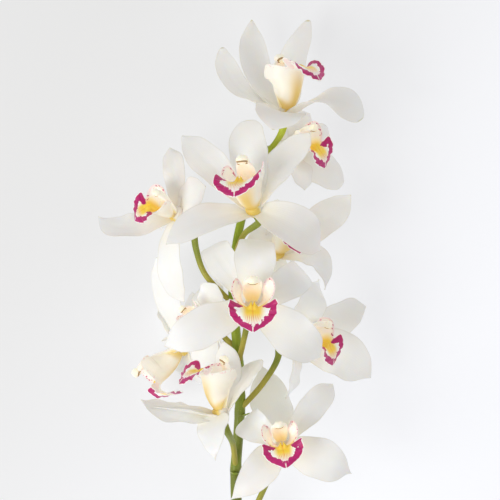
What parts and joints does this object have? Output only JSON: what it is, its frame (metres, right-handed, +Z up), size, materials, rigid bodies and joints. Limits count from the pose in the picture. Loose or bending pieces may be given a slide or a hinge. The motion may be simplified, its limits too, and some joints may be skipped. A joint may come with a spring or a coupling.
{
  "type": "cymbidium orchid stem",
  "caption": "Cut cymbidium orchid stem lying on its side: a green flower stalk with open white blooms, each with five tepals, a purple-banded lip and an arched column.",
  "frame": {"origin": "on the surface that the stem lies on, under the middle of its footprint", "axes": "+Z up from the surface, +Y along the stalk from its cut end to its topmost bloom, +X across the stem"},
  "size_m": [0.1895, 0.4585, 0.1259],
  "materials": {
    "tepals": "waxy white petal, satin, faintly translucent, cream towards the base",
    "lip": "waxy white petal with a magenta-purple band inside its margin and a yellow ridge",
    "column": "smooth cream, satin, with a yellowish anther cap",
    "pedicel": "smooth olive to yellow-green, satin",
    "stalk": "smooth mid green, satin"
  },
  "bodies": {
    "root": {"bloom_01_tepals": "tepals", "bloom_01_lip": "lip", "bloom_01_column": "column", "bloom_01_pedicel": "pedicel", "bloom_02_tepals": "tepals", "bloom_02_lip": "lip", "bloom_02_column": "column", "bloom_02_pedicel": "pedicel", "bloom_03_tepals": "tepals", "bloom_03_lip": "lip", "bloom_03_column": "column", "bloom_03_pedicel": "pedicel", "bloom_04_tepals": "tepals", "bloom_04_lip": "lip", "bloom_04_column": "column", "bloom_04_pedicel": "pedicel", "bloom_05_tepals": "tepals", "bloom_05_lip": "lip", "bloom_05_column": "column", "bloom_05_pedicel": "pedicel", "bloom_06_tepals": "tepals", "bloom_06_lip": "lip", "bloom_06_column": "column", "bloom_06_pedicel": "pedicel", "bloom_07_tepals": "tepals", "bloom_07_lip": "lip", "bloom_07_column": "column", "bloom_07_pedicel": "pedicel", "bloom_08_tepals": "tepals", "bloom_08_lip": "lip", "bloom_08_column": "column", "bloom_08_pedicel": "pedicel", "bloom_09_tepals": "tepals", "bloom_09_lip": "lip", "bloom_09_column": "column", "bloom_09_pedicel": "pedicel", "bloom_10_tepals": "tepals", "bloom_10_lip": "lip", "bloom_10_column": "column", "bloom_10_pedicel": "pedicel", "bloom_11_tepals": "tepals", "bloom_11_lip": "lip", "bloom_11_column": "column", "bloom_11_pedicel": "pedicel", "flower_stalk": "stalk"}
  },
  "joints": []
}
